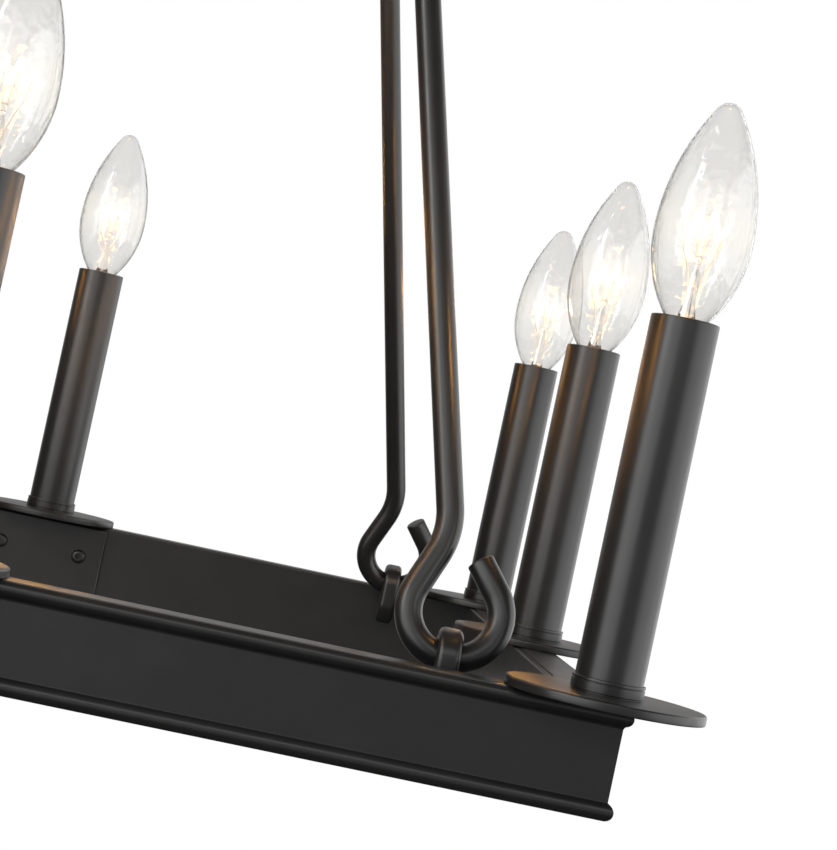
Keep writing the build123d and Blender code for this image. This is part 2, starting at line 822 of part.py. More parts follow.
yoke_bottom = swivel_z + yoke_reach
save(
    yoke(
        yoke_bottom,
        -canopy_height,
        ceiling_nipple_diameter / 2 + running_fit,
        yoke_bottom,
        -canopy_height,
        Vector(1, 0, 0),
    ),
    "swivel_yoke",
)
save(
    yoke(
        stem_boss_bottom,
        stem_boss_top,
        stem_diameter / 2 + running_fit,
        stem_boss_bottom,
        stem_boss_bottom + stem_grip,
        Vector(0, 1, 0),
    ),
    "stem_yoke",
)

pin_end = block_side / 2 + seat_gap + ear_thickness
pin_start = pin_diameter / 2 + seat_gap
with BuildPart() as block:
    with Locations((0, 0, swivel_z)):
        Box(block_side, block_side, block_side)
    fillet(block.edges(), block_round)
    for across in (Vector(1, 0, 0), Vector(0, 1, 0)):
        with BuildSketch(Plane(origin=(0, 0, swivel_z), z_dir=across)):
            Circle(pin_diameter / 2 + running_fit)
        extrude(amount=block_side, both=True, mode=Mode.SUBTRACT)
save(block.part, "swivel_block")

with BuildPart() as pins:
    with BuildSketch(Plane(origin=(-pin_end, 0, swivel_z), z_dir=(1, 0, 0))):
        Circle(pin_diameter / 2)
    extrude(amount=2 * pin_end)
    for side in (-1, 1):
        with BuildSketch(Plane(origin=(0, side * pin_start, swivel_z), z_dir=(0, side, 0))):
            Circle(pin_diameter / 2)
        extrude(amount=pin_end - pin_start)
save(pins.part, "swivel_pins")

# Ceiling fitting

with BuildPart() as bracket:
    with BuildSketch():
        RectangleRounded(bracket_length, bracket_width, bracket_corner)
        with GridLocations(box_screw_pitch, 0, 2, 1):
            SlotOverall(box_slot_length, box_slot_width, mode=Mode.SUBTRACT)
        with GridLocations(canopy_stud_pitch, 0, 2, 1):
            Circle(canopy_stud / 2 + running_fit, mode=Mode.SUBTRACT)
        Circle(ceiling_nipple_diameter / 2 + running_fit, mode=Mode.SUBTRACT)
    extrude(amount=-bracket_thickness)
save(bracket.part, "ceiling_bracket")

with BuildPart() as canopy:
    with BuildSketch(Plane.XY.offset(-canopy_height)):
        Circle(canopy_diameter / 2)
    extrude(amount=canopy_height)
    fillet(canopy.faces().sort_by(Axis.Z)[0].edges(), canopy_round)
    offset(amount=-canopy_wall, openings=canopy.faces().sort_by(Axis.Z)[-1])
    with BuildSketch(Plane.XY.offset(-canopy_height)):
        Circle(ceiling_nipple_diameter / 2 + slip_fit)
        with GridLocations(canopy_stud_pitch, 0, 2, 1):
            Circle(canopy_stud / 2 + slip_fit)
    extrude(amount=2 * canopy_wall, mode=Mode.SUBTRACT)
save(canopy.part, "canopy")

with BuildPart() as canopy_studs:
    with BuildSketch():
        with GridLocations(canopy_stud_pitch, 0, 2, 1):
            Circle(canopy_stud / 2)
    extrude(amount=-(canopy_height + cap_nut_height / 2))
save(canopy_studs.part, "canopy_studs")

with BuildPart() as cap_nuts:
    with BuildSketch(Plane.XY.offset(-canopy_height)):
        with GridLocations(canopy_stud_pitch, 0, 2, 1):
            Circle(cap_nut_diameter / 2)
    extrude(amount=-cap_nut_height)
    fillet(cap_nuts.faces().sort_by(Axis.Z)[:2].edges(), cap_nut_round)
    with BuildSketch(Plane.XY.offset(-canopy_height)):
        with GridLocations(canopy_stud_pitch, 0, 2, 1):
            Circle(canopy_stud / 2 + running_fit)
    extrude(amount=-cap_nut_hole, mode=Mode.SUBTRACT)
save(cap_nuts.part, "canopy_cap_nuts")

with BuildPart() as ceiling_nipple:
    with BuildSketch():
        Circle(ceiling_nipple_diameter / 2)
        Circle(ceiling_nipple_bore / 2, mode=Mode.SUBTRACT)
    extrude(amount=-(canopy_height + yoke_boss))
save(ceiling_nipple.part, "ceiling_nipple")

with BuildPart() as locknut:
    with BuildSketch(Plane.XY.offset(-bracket_thickness)):
        RegularPolygon(locknut_width / 2, 6, major_radius=False)
        Circle(ceiling_nipple_diameter / 2 + running_fit, mode=Mode.SUBTRACT)
    extrude(amount=-locknut_height)
save(locknut.part, "ceiling_locknut")
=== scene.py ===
import bmesh
import bpy
import json
from math import asin, atan2, cos, exp, pi, radians, sin, tan
from mathutils import Matrix, Vector


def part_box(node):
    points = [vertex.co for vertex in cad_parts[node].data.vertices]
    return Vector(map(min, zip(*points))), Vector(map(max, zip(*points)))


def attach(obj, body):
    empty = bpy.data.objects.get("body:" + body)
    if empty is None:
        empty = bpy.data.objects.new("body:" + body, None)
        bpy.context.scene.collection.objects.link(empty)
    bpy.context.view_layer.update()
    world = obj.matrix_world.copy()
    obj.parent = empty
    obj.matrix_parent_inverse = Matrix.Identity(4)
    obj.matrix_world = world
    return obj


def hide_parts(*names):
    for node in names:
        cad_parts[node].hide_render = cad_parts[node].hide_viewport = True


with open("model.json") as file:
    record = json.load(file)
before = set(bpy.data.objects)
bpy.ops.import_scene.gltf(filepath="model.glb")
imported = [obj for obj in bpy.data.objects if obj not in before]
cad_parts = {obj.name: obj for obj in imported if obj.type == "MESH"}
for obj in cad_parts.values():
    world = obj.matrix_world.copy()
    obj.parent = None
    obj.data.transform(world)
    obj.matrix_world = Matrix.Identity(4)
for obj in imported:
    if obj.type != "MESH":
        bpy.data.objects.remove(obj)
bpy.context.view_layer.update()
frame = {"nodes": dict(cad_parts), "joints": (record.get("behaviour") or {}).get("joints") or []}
nodes = frame["nodes"]


# Canopy and ceiling hardware
# A pressed steel cup closes against the ceiling and hides a slotted crossbar, its hollow nipple and the
# threaded studs. The cup and its cap nuts are sprayed satin black, and the hidden steel is zinc plated.
coat_colours = (0.0088, 0.0087, 0.0085, 1), (0.0108, 0.0106, 0.0104, 1)
zinc_colours = (0.56, 0.57, 0.59, 1), (0.40, 0.40, 0.40, 1)
relief = 0.35


def new_material(name):
    """A material with its node tree and its main shader."""
    material = bpy.data.materials.new(name)
    material.use_nodes = True
    return material, material.node_tree, material.node_tree.nodes["Principled BSDF"]


def add_noise(tree, scale, detail=2.0):
    """Cloudy noise that is fixed to the piece."""
    place = tree.nodes.new("ShaderNodeTexCoord")
    noise = tree.nodes.new("ShaderNodeTexNoise")
    noise.inputs["Scale"].default_value = scale
    noise.inputs["Detail"].default_value = detail
    tree.links.new(place.outputs["Object"], noise.inputs["Vector"])
    return noise.outputs["Fac"]


def add_range(tree, noise, low, high):
    """Spreads the middle of a noise from a low value to a high one."""
    fit = tree.nodes.new("ShaderNodeMapRange")
    fit.inputs["From Min"].default_value = 0.3
    fit.inputs["From Max"].default_value = 0.7
    fit.inputs["To Min"].default_value = low
    fit.inputs["To Max"].default_value = high
    tree.links.new(noise, fit.inputs["Value"])
    return fit.outputs["Result"]


def add_ramp(tree, value, *stops):
    """Colours a value by stops of position and colour."""
    ramp = tree.nodes.new("ShaderNodeValToRGB")
    marks = ramp.color_ramp.elements
    while len(marks) < len(stops):
        marks.new(0.5)
    for mark, (position, colour) in zip(marks, stops):
        mark.position = position
        mark.color = colour
    tree.links.new(value, ramp.inputs["Fac"])
    return ramp.outputs["Color"]


def add_bump(tree, height, strength, distance, below=None):
    """Relief from a height, laid over the relief below it."""
    bump = tree.nodes.new("ShaderNodeBump")
    bump.inputs["Strength"].default_value = strength
    bump.inputs["Distance"].default_value = distance
    tree.links.new(height, bump.inputs["Height"])
    if below is not None:
        tree.links.new(below, bump.inputs["Normal"])
    return bump.outputs["Normal"]


def surface(name, colours, cloud, rough, grain, depth, metallic=0.0):
    """A finish with a cloudy colour, uneven gloss and relief of two sizes."""
    material, tree, shader = new_material(name)
    shader.inputs["Metallic"].default_value = metallic
    clouds = add_noise(tree, cloud, 4.0)
    colour = add_ramp(tree, clouds, (0.35, colours[0]), (0.65, colours[1]))
    tree.links.new(colour, shader.inputs["Base Color"])
    tree.links.new(add_range(tree, add_noise(tree, cloud * 3, 3.0), *rough), shader.inputs["Roughness"])
    coarse = add_bump(tree, add_noise(tree, grain / 4), relief, depth)
    fine = add_bump(tree, add_noise(tree, grain), relief, depth / 2, coarse)
    tree.links.new(fine, shader.inputs["Normal"])
    return material


def dress(material, *names):
    """Gives whole nodes of the model one finish."""
    for name in names:
        mesh = nodes[name].data
        mesh.materials.clear()
        mesh.materials.append(material)


powder_coat = surface("satin_black_powder", coat_colours, 40, (0.29, 0.34), grain=2000, depth=0.00003)
zinc_plate = surface("zinc_plate", zinc_colours, 90, (0.28, 0.42), grain=1500, depth=0.00004, metallic=1.0)

dress(powder_coat, "canopy", "canopy_cap_nuts")
dress(zinc_plate, "ceiling_bracket", "ceiling_nipple", "ceiling_locknut", "canopy_studs")


# Swivel
# Two turned steel yokes at right angles hang on pins through a cross block, so that the stem finds plumb.
dress(powder_coat, "swivel_yoke", "swivel_block", "stem_yoke")
dress(zinc_plate, "swivel_pins")


# Stem and hub
# A steel tube screws into a turned hub and is locked by a nut inside it. A cover and a finial close the hub
# from below, and a nylon bushing lets the feed cord out.
nylon_colours = (0.02, 0.02, 0.02, 1), (0.03, 0.03, 0.03, 1)
nylon = surface("nylon_bushing", nylon_colours, 60, (0.45, 0.6), grain=1800, depth=0.00005)

dress(powder_coat, "stem_tube", "hub_body", "hub_cover", "hub_finial")
dress(zinc_plate, "stem_locknut")
dress(nylon, "hub_bushing", "rail_bushing")


# Hanger rods
# Round steel bar bent into an open hook at both ends and sprayed black. The upper hook hangs in an eye on
# the hub and the lower one holds an eye on the rail.
rod_radius = 0.005
rod_sides = 40
rod_end_bevel = 0.0008
rod_end_segments = 3
hook_radius = 0.0165
hook_steps = 72
hook_tail = 0.0128
hook_tail_angle = radians(24)
hook_lead_angle = radians(35)
hook_lead_radius = 0.030
hook_lead_steps = 16
weld_distance = 1e-7
sharp_angle = radians(32)
corner_signs = {"front_right": (1, 1), "front_left": (-1, 1), "back_right": (1, -1), "back_left": (-1, -1)}

rod_swing = next(joint for joint in frame["joints"] if joint["name"] == "rod_swing_front_right")
hub_hook_centre = Vector(rod_swing["pos_m"])
rail_hook_centre = Vector((0.1876, -0.21588, -1.07210))
rod_axis = (hub_hook_centre - rail_hook_centre).normalized()
rail_hook_side = (Vector((1, 0, 0)) - rod_axis * rod_axis.x).normalized()
hub_hook_side = rod_axis.cross(Vector((0, 0, 1))).normalized()


def only(geometry, kind):
    """The vertices or the edges among mixed geometry."""
    return [item for item in geometry if isinstance(item, kind)]


def run(bm, ring, way):
    """Draws a ring of edges straight along a way and returns the ring at its end."""
    made = bmesh.ops.extrude_edge_only(bm, edges=ring)["geom"]
    ends = set(only(made, bmesh.types.BMVert))
    bmesh.ops.translate(bm, vec=way, verts=list(ends))
    return [edge for edge in only(made, bmesh.types.BMEdge) if set(edge.verts) <= ends]


def bend(bm, ring, centre, axis, angle, steps):
    """Draws a ring of edges round an arc and returns the ring at its end."""
    points = list({point for edge in ring for point in edge.verts})
    turned = bmesh.ops.spin(bm, geom=points + ring, cent=centre, axis=axis, angle=angle, steps=steps)
    return only(turned["geom_last"], bmesh.types.BMEdge)


def bevel(bm, geometry, offset, affect, segments):
    """Rounds edges or corners."""
    bmesh.ops.bevel(
        bm, geom=geometry, offset=offset, affect=affect, segments=segments, profile=0.5, material=-1
    )


def close_ends(bm, offset, segments):
    """Closes the open ends of a bar with flat faces and takes off their edges."""
    ends = bmesh.ops.holes_fill(bm, edges=[edge for edge in bm.edges if edge.is_boundary])["faces"]
    bevel(bm, list({edge for face in ends for edge in face.edges}), offset, "EDGES", segments)


def show_mesh(bm, name, material):
    """Turns a bmesh into an object of the scene."""
    mesh = bpy.data.meshes.new(name)
    bm.to_mesh(mesh)
    bm.free()
    mesh.materials.append(material)
    shown = bpy.data.objects.new(name, mesh)
    bpy.context.scene.collection.objects.link(shown)
    return shown


def make_piece(bm, name, material, body, slot, *stands_for):
    """Turns a bmesh into a piece that rides on a body, smooth apart from its sharp edges."""
    bmesh.ops.remove_doubles(bm, verts=bm.verts[:], dist=weld_distance)
    bmesh.ops.recalc_face_normals(bm, faces=bm.faces[:])
    for face in bm.faces:
        face.smooth = True
    for edge in bm.edges:
        edge.smooth = edge.calc_face_angle(0) < sharp_angle
    piece = show_mesh(bm, name, material)
    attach(piece, body)
    if stands_for:
        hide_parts(*stands_for)
    return piece


def hook_point(centre, side, away, angle):
    """A place on a hook's round, by its angle from the side of the tail."""
    return centre + side * hook_radius * cos(angle) + away * hook_radius * sin(angle)


def hook_way(side, away, angle):
    """The direction of the bar at that place."""
    return away * cos(angle) - side * sin(angle)


def hanger_rod():
    """The front right rod, from the tip of its lower hook to the tip of its upper one."""
    bm = bmesh.new()
    loop_turn = pi + hook_tail_angle + hook_lead_angle
    lead_reach = hook_radius / tan(hook_lead_angle) - hook_lead_radius * tan(hook_lead_angle / 2)
    shaft_start = hook_radius / sin(hook_lead_angle) + hook_lead_radius * tan(hook_lead_angle / 2)
    tail = hook_way(rail_hook_side, rod_axis, hook_tail_angle)
    tip = hook_point(rail_hook_centre, rail_hook_side, rod_axis, hook_tail_angle) + tail * hook_tail
    aim = (-tail).to_track_quat("Z", "Y").to_matrix().to_4x4()
    bmesh.ops.create_circle(bm, segments=rod_sides, radius=rod_radius, matrix=Matrix.Translation(tip) @ aim)
    ring = run(bm, bm.edges[:], -tail * hook_tail)
    across = rail_hook_side.cross(rod_axis)
    ring = bend(bm, ring, rail_hook_centre, across, -loop_turn, hook_steps)
    lead = rail_hook_side * sin(hook_lead_angle) + rod_axis * cos(hook_lead_angle)
    ring = run(bm, ring, lead * lead_reach)
    elbow = rail_hook_centre + rod_axis * shaft_start - rail_hook_side * hook_lead_radius
    ring = bend(bm, ring, elbow, across, hook_lead_angle, hook_lead_steps)
    length = (hub_hook_centre - rail_hook_centre).length - 2 * shaft_start
    ring = run(bm, ring, rod_axis * length)
    across = hub_hook_side.cross(-rod_axis)
    elbow = hub_hook_centre - rod_axis * shaft_start - hub_hook_side * hook_lead_radius
    ring = bend(bm, ring, elbow, across, -hook_lead_angle, hook_lead_steps)
    lead = rod_axis * cos(hook_lead_angle) - hub_hook_side * sin(hook_lead_angle)
    ring = run(bm, ring, lead * lead_reach)
    ring = bend(bm, ring, hub_hook_centre, across, loop_turn, hook_steps)
    run(bm, ring, hook_way(hub_hook_side, -rod_axis, hook_tail_angle) * hook_tail)
    close_ends(bm, rod_end_bevel, rod_end_segments)
    return bm


for corner, (x_sign, y_sign) in corner_signs.items():
    bm = hanger_rod()
    bmesh.ops.scale(bm, vec=(x_sign, y_sign, 1), verts=bm.verts[:])
    make_piece(bm, f"rod_{corner}", powder_coat, f"rod_{corner}", "black", f"hanger_rod_{corner}")


# Eyes
# Closed rings of flat bar with rounded edges, welded upright inside the rail and round the hub.
eye_width = 0.0086
eye_bar = 0.0052
eye_round = 0.0023
eye_round_segments = 8
eye_straight = 0.010
eye_bore = 0.0055
eye_steps = 24
eye_seam = 1e-6
hub_eye_radius = 0.0381
hub_eye_bearing = atan2(-hub_hook_centre.y, hub_hook_centre.x)


def eye_ring(middle, outward):
    """A ring whose hole lies across the outward direction."""
    bm = bmesh.new()
    bmesh.ops.create_grid(bm, x_segments=1, y_segments=1, size=0.5)
    bmesh.ops.scale(bm, vec=(eye_bar, eye_width, 1), verts=bm.verts[:])
    bevel(bm, bm.verts[:], eye_round, "VERTICES", eye_round_segments)
    bmesh.ops.delete(bm, geom=bm.faces[:], context="FACES_ONLY")
    bmesh.ops.translate(bm, vec=(eye_bore + eye_bar / 2, 0, -eye_straight / 2), verts=bm.verts[:])
    up = Vector((0, 0, eye_straight))
    ring = run(bm, bm.edges[:], up)
    ring = bend(bm, ring, up / 2, (0, 1, 0), -pi, eye_steps)
    ring = run(bm, ring, -up)
    bend(bm, ring, -up / 2, (0, 1, 0), -pi, eye_steps)
    bmesh.ops.remove_doubles(bm, verts=bm.verts[:], dist=eye_seam)
    turn = Matrix.Rotation(atan2(outward[1], outward[0]), 4, "Z")
    bmesh.ops.transform(bm, matrix=Matrix.Translation(middle) @ turn, verts=bm.verts[:])
    return bm


def middle_of(node):
    """The middle of a node's box."""
    low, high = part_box(node)
    return (low + high) / 2


def add_form(whole, form):
    """Moves one bmesh into another."""
    mesh = bpy.data.meshes.new("form")
    form.to_mesh(mesh)
    form.free()
    whole.from_mesh(mesh)
    bpy.data.meshes.remove(mesh)


for corner in corner_signs:
    bm = eye_ring(middle_of(f"rail_eye_{corner}"), (0, 1))
    make_piece(bm, f"eye_{corner}", powder_coat, "frame", "black", f"rail_eye_{corner}")

bm = bmesh.new()
for x_sign, y_sign in corner_signs.values():
    outward = Vector((x_sign * cos(hub_eye_bearing), -y_sign * sin(hub_eye_bearing), 0))
    height = Vector((0, 0, middle_of("hub_eyes").z))
    add_form(bm, eye_ring(outward * hub_eye_radius + height, outward))
make_piece(bm, "eyes_hub", powder_coat, "hub", "black", "hub_eyes")


# Rail frame
# Rolled steel channel with a nose and a bead, mitred into two halves that splice plates and socket screws
# hold together. A flat strip closes the inside and a loose cover the bottom.
dress(powder_coat, "rail_channel_right", "rail_channel_left", "inner_strip_right", "inner_strip_left")
dress(powder_coat, "splice_plate_front", "splice_plate_back", "splice_screws")
dress(powder_coat, "rail_cover_right", "rail_cover_left")


# Drip plates
# Flat steel discs with a turned upper edge, clamped on the rail under each candle and sprayed with it.
candle_pitch = 0.242
candle_places = {
    "front_left": (-1, -1),
    "front_middle": (0, -1),
    "front_right": (1, -1),
    "right_middle": (1, 0),
    "back_right": (1, 1),
    "back_middle": (0, 1),
    "back_left": (-1, 1),
    "left_middle": (-1, 0),
}
candle_spots = [Vector((x * candle_pitch, y * candle_pitch, 0)) for x, y in candle_places.values()]
disc_radius = 0.03515
disc_round = 0.0010
disc_round_steps = 6
disc_under_round = 0.0004
disc_under_steps = 3
disc_hole = 0.00415
disc_sides = 144
disc_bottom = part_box("drip_plates")[0].z
disc_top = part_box("drip_plates")[1].z


def sweep_point(bm, start, centre, angle, steps):
    """Carries the end of an outline round an arc in the XZ plane and returns its new end."""
    middle = (centre[0], 0, centre[1])
    turned = bmesh.ops.spin(bm, geom=[start], cent=middle, axis=(0, 1, 0), angle=angle, steps=steps)
    return only(turned["geom_last"], bmesh.types.BMVert)[0]


def step_point(bm, start, *places):
    """Carries the end of an outline straight from place to place and returns its new end."""
    for x, z in places:
        end = bm.verts.new((x, 0, z))
        bm.edges.new((start, end))
        start = end
    return start


def turn_outline(bm, sides):
    """Turns an outline about the Z axis into a closed form."""
    bmesh.ops.spin(
        bm,
        geom=bm.verts[:] + bm.edges[:],
        cent=(0, 0, 0),
        axis=(0, 0, 1),
        angle=2 * pi,
        steps=sides,
        use_merge=True,
    )
    bmesh.ops.remove_doubles(bm, verts=bm.verts[:], dist=weld_distance)
    bmesh.ops.recalc_face_normals(bm, faces=bm.faces[:])


def stand_on_candles(bm):
    """Repeats a form on all eight candle axes."""
    form = bm.verts[:] + bm.edges[:] + bm.faces[:]
    for spot in candle_spots[1:]:
        copied = bmesh.ops.duplicate(bm, geom=form)["geom"]
        bmesh.ops.translate(bm, vec=spot, verts=only(copied, bmesh.types.BMVert))
    bmesh.ops.translate(bm, vec=candle_spots[0], verts=only(form, bmesh.types.BMVert))
    return bm


bm = bmesh.new()
under_x, under_z = disc_radius - disc_under_round, disc_bottom + disc_under_round
upper_x, upper_z = disc_radius - disc_round, disc_top - disc_round
start = bm.verts.new((disc_hole, 0, disc_bottom))
point = step_point(bm, start, (under_x, disc_bottom))
point = sweep_point(bm, point, (under_x, under_z), -pi / 2, disc_under_steps)
point = step_point(bm, point, (disc_radius, upper_z))
point = sweep_point(bm, point, (upper_x, upper_z), -pi / 2, disc_round_steps)
point = step_point(bm, point, (disc_hole, disc_top))
bm.edges.new((point, start))
turn_outline(bm, disc_sides)
make_piece(stand_on_candles(bm), "plates", powder_coat, "frame", "black", "drip_plates")


# Candle cups and sleeves
# A thin collar with a rolled groove centres a straight steel sleeve on the plate. Both are sprayed with the
# frame.
cup_radius = 0.01285
cup_bore = 0.01215
cup_floor = 0.0012
cup_height = 0.0050
cup_groove = 0.0003
cup_groove_drop = 0.0012
cup_groove_steps = 6
sleeve_radius = 0.0120
sleeve_wall = 0.0012
sleeve_lip = 0.0004
rim_steps = 4
candle_sides = 96
rim_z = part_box("candle_tubes")[1].z

bm = bmesh.new()
floor_top = disc_top + cup_floor
cup_top = disc_top + cup_height
groove_z = cup_top - cup_groove_drop
cup_edge = cup_radius - cup_groove
start = bm.verts.new((disc_hole, 0, disc_top))
point = step_point(
    bm,
    start,
    (cup_edge, disc_top),
    (cup_edge, disc_top + cup_groove),
    (cup_radius, disc_top + 2 * cup_groove),
    (cup_radius, groove_z - cup_groove),
)
point = sweep_point(bm, point, (cup_radius, groove_z), pi, cup_groove_steps)
point = step_point(bm, point, (cup_radius, cup_top - cup_groove))
point = sweep_point(bm, point, (cup_edge, cup_top - cup_groove), -pi / 2, rim_steps)
point = step_point(bm, point, (cup_bore, cup_top), (cup_bore, floor_top), (disc_hole, floor_top))
bm.edges.new((point, start))
turn_outline(bm, candle_sides)
make_piece(stand_on_candles(bm), "cups", powder_coat, "frame", "black", "candle_cups")

bm = bmesh.new()
sleeve_bore = sleeve_radius - sleeve_wall
lip_z = rim_z - sleeve_lip
start = bm.verts.new((sleeve_bore, 0, floor_top))
point = step_point(bm, start, (sleeve_radius, floor_top), (sleeve_radius, lip_z))
point = sweep_point(bm, point, (sleeve_radius - sleeve_lip, lip_z), -pi / 2, rim_steps)
point = step_point(bm, point, (sleeve_bore + sleeve_lip, rim_z))
point = sweep_point(bm, point, (sleeve_bore + sleeve_lip, lip_z), -pi / 2, rim_steps)
bm.edges.new((point, start))
turn_outline(bm, candle_sides)
make_piece(stand_on_candles(bm), "sleeves", powder_coat, "frame", "black", "candle_tubes")


# Sockets and wiring
# Threaded nipples with square nuts clamp each candle, and risers on them carry moulded phenolic sockets
# with brass screw shells. A loop of insulated wire in the rails feeds them.
phenolic_colours = (0.03, 0.026, 0.023, 1), (0.05, 0.043, 0.037, 1)
brass_colours = (0.70, 0.52, 0.24, 1), (0.55, 0.38, 0.16, 1)
insulation_colours = (0.02, 0.02, 0.02, 1), (0.03, 0.03, 0.03, 1)
phenolic = surface("moulded_phenolic", phenolic_colours, 70, (0.35, 0.5), grain=1600, depth=0.00004)
brass = surface("drawn_brass", brass_colours, 120, (0.25, 0.4), grain=1800, depth=0.00003, metallic=1.0)
insulation = surface("wire_insulation", insulation_colours, 80, (0.45, 0.55), grain=1500, depth=0.00003)

dress(zinc_plate, "candle_nipples", "nipple_nuts", "socket_risers")
dress(phenolic, "socket_bodies")
dress(brass, "socket_shells")
dress(insulation, "wiring_harness")


# Bulbs
# Clear blown torpedo globes cemented into nickel plated screw caps. A pressed glass stem carries two leads
# and two supports, and a coiled filament zigzags between them and glows. Heights are from the sleeve's rim.
bulb_radius = 0.0173
bulb_belly = 0.029
bulb_tip = 0.0763
foot_radius = 0.0477
crown_radius = 0.084
shoulder_turn = radians(36)
neck_radius = 0.0053
neck_top = -0.007
neck_bottom = -0.015
glass_wall = 0.00045
flare_steps = 28
foot_steps = 72
crown_steps = 96
tip_steps = 24
bulb_sides = 96
cap_radius = 0.00595
cap_wall = 0.0006
cap_top = -0.008
cap_low = -0.021
cap_thread = 0.0003
cap_threads = 5
cap_sides = 48
contact_radius = 0.0025
contact_drop = 0.0035
stem_outline = (
    (0.00445, -0.0150),
    (0.00445, -0.0120),
    (0.00400, -0.0040),
    (0.00300, 0.0020),
    (0.00200, 0.0060),
    (0.00170, 0.0120),
    (0.00150, 0.0165),
    (0.00080, 0.0180),
    (0.00080, 0.0195),
    (0.00150, 0.0205),
    (0.00140, 0.0220),
    (0.00060, 0.0226),
)
stem_sides = 32
lead_radius = 0.0003
lead_route = ((0.0017, 0.010), (0.0022, 0.0165), (0.0066, 0.025), (0.0075, 0.034))
support_route = ((0.0008, 0.0215), (0.0016, 0.030), (0.0026, 0.0385))
coil_radius = 0.0007
coil_wire = 0.00026
coil_wire_sides = 6
coil_turns = 9
coil_turn_steps = 10
filament_posts = (
    (0.0075, 0.034),
    (0.0050, 0.0290),
    (0.0026, 0.0385),
    (0.0, 0.0290),
    (-0.0026, 0.0385),
    (-0.0050, 0.0290),
    (-0.0075, 0.034),
)

# A painted glow that the glass gives off as light at the filament's height, in place of the filament's light
# it catches, and the light that the filament throws on the frame
painted_glow_middle = 0.033
painted_glow_reach = 0.011
painted_glow_strength = 0.024
painted_glow_colour = (1.0, 0.74, 0.40, 1)
filament_colour = (1.0, 0.62, 0.28, 1)
filament_strength = 16
lamp_height = 0.034
lamp_radius = 0.004
lamp_energy = 0.36
lamp_colour = (1.0, 0.43, 0.05)

# Tints and gloss of the glass, from where it is seen face on to where it is seen edge on
blown_tints = (
    (0.25, (0.885, 0.88, 0.868, 1)),
    (0.62, (0.82, 0.815, 0.80, 1)),
    (0.88, (0.25, 0.25, 0.23, 1)),
)
blown_gloss = (0.70, (0.9, 0.9, 0.9, 1)), (0.90, (0.15, 0.15, 0.15, 1))
pressed_tints = (0.50, (0.94, 0.92, 0.88, 1)), (0.95, (0.70, 0.66, 0.58, 1))
nickel_colours = (0.62, 0.55, 0.45, 1), (0.5, 0.42, 0.33, 1)
tungsten_colours = (0.4, 0.38, 0.36, 1), (0.3, 0.28, 0.26, 1)


def clear_glass(name, bending, tints):
    """Colourless glass that darkens where it is seen edge on."""
    material, tree, shader = new_material(name)
    shader.inputs["Transmission Weight"].default_value = 1
    shader.inputs["Roughness"].default_value = 0
    shader.inputs["IOR"].default_value = bending
    edge = tree.nodes.new("ShaderNodeLayerWeight")
    edge.inputs["Blend"].default_value = 0.5
    tree.links.new(add_ramp(tree, edge.outputs["Facing"], *tints), shader.inputs["Base Color"])
    return material, tree, shader, edge.outputs["Facing"]


def add_attribute(tree, name):
    """A number that the mesh carries at its vertices."""
    attribute = tree.nodes.new("ShaderNodeAttribute")
    attribute.attribute_name = name
    return attribute.outputs["Fac"]


def multiply(tree, first, second):
    """The product of two sockets."""
    product = tree.nodes.new("ShaderNodeMath")
    product.operation = "MULTIPLY"
    tree.links.new(first, product.inputs[0])
    tree.links.new(second, product.inputs[1])
    return product.outputs[0]


blown_glass, glass_tree, glass_shader, edge_on = clear_glass("blown_glass", 1.06, blown_tints)
glass_shader.inputs["Coat Roughness"].default_value = 0
glass_tree.links.new(add_ramp(glass_tree, edge_on, *blown_gloss), glass_shader.inputs["Coat Weight"])
uneven = multiply(glass_tree, add_noise(glass_tree, 170, 1.0), add_attribute(glass_tree, "inside"))
blown_ripple = add_bump(glass_tree, uneven, strength=1.0, distance=0.0016)
glass_tree.links.new(blown_ripple, glass_shader.inputs["Coat Normal"])
# Painted glow: the glass itself gives off warm light in a band at the filament's height
glass_shader.inputs["Emission Color"].default_value = painted_glow_colour
glass_tree.links.new(add_attribute(glass_tree, "painted_glow"), glass_shader.inputs["Emission Strength"])

pressed_glass, stem_tree, stem_shader, _ = clear_glass("pressed_glass", 1.47, pressed_tints)
pressed_ripple = add_bump(stem_tree, add_noise(stem_tree, 400, 1.0), strength=0.4, distance=0.0006)
stem_tree.links.new(pressed_ripple, stem_shader.inputs["Normal"])

nickel = surface("nickel_lead", nickel_colours, 150, (0.25, 0.35), grain=1500, depth=0.00002, metallic=1.0)
filament_glow = surface("filament_glow", tungsten_colours, 200, (0.4, 0.5), grain=1500, depth=0.00001)
filament_shader = filament_glow.node_tree.nodes["Principled BSDF"]
filament_shader.inputs["Emission Color"].default_value = filament_colour
filament_shader.inputs["Emission Strength"].default_value = filament_strength


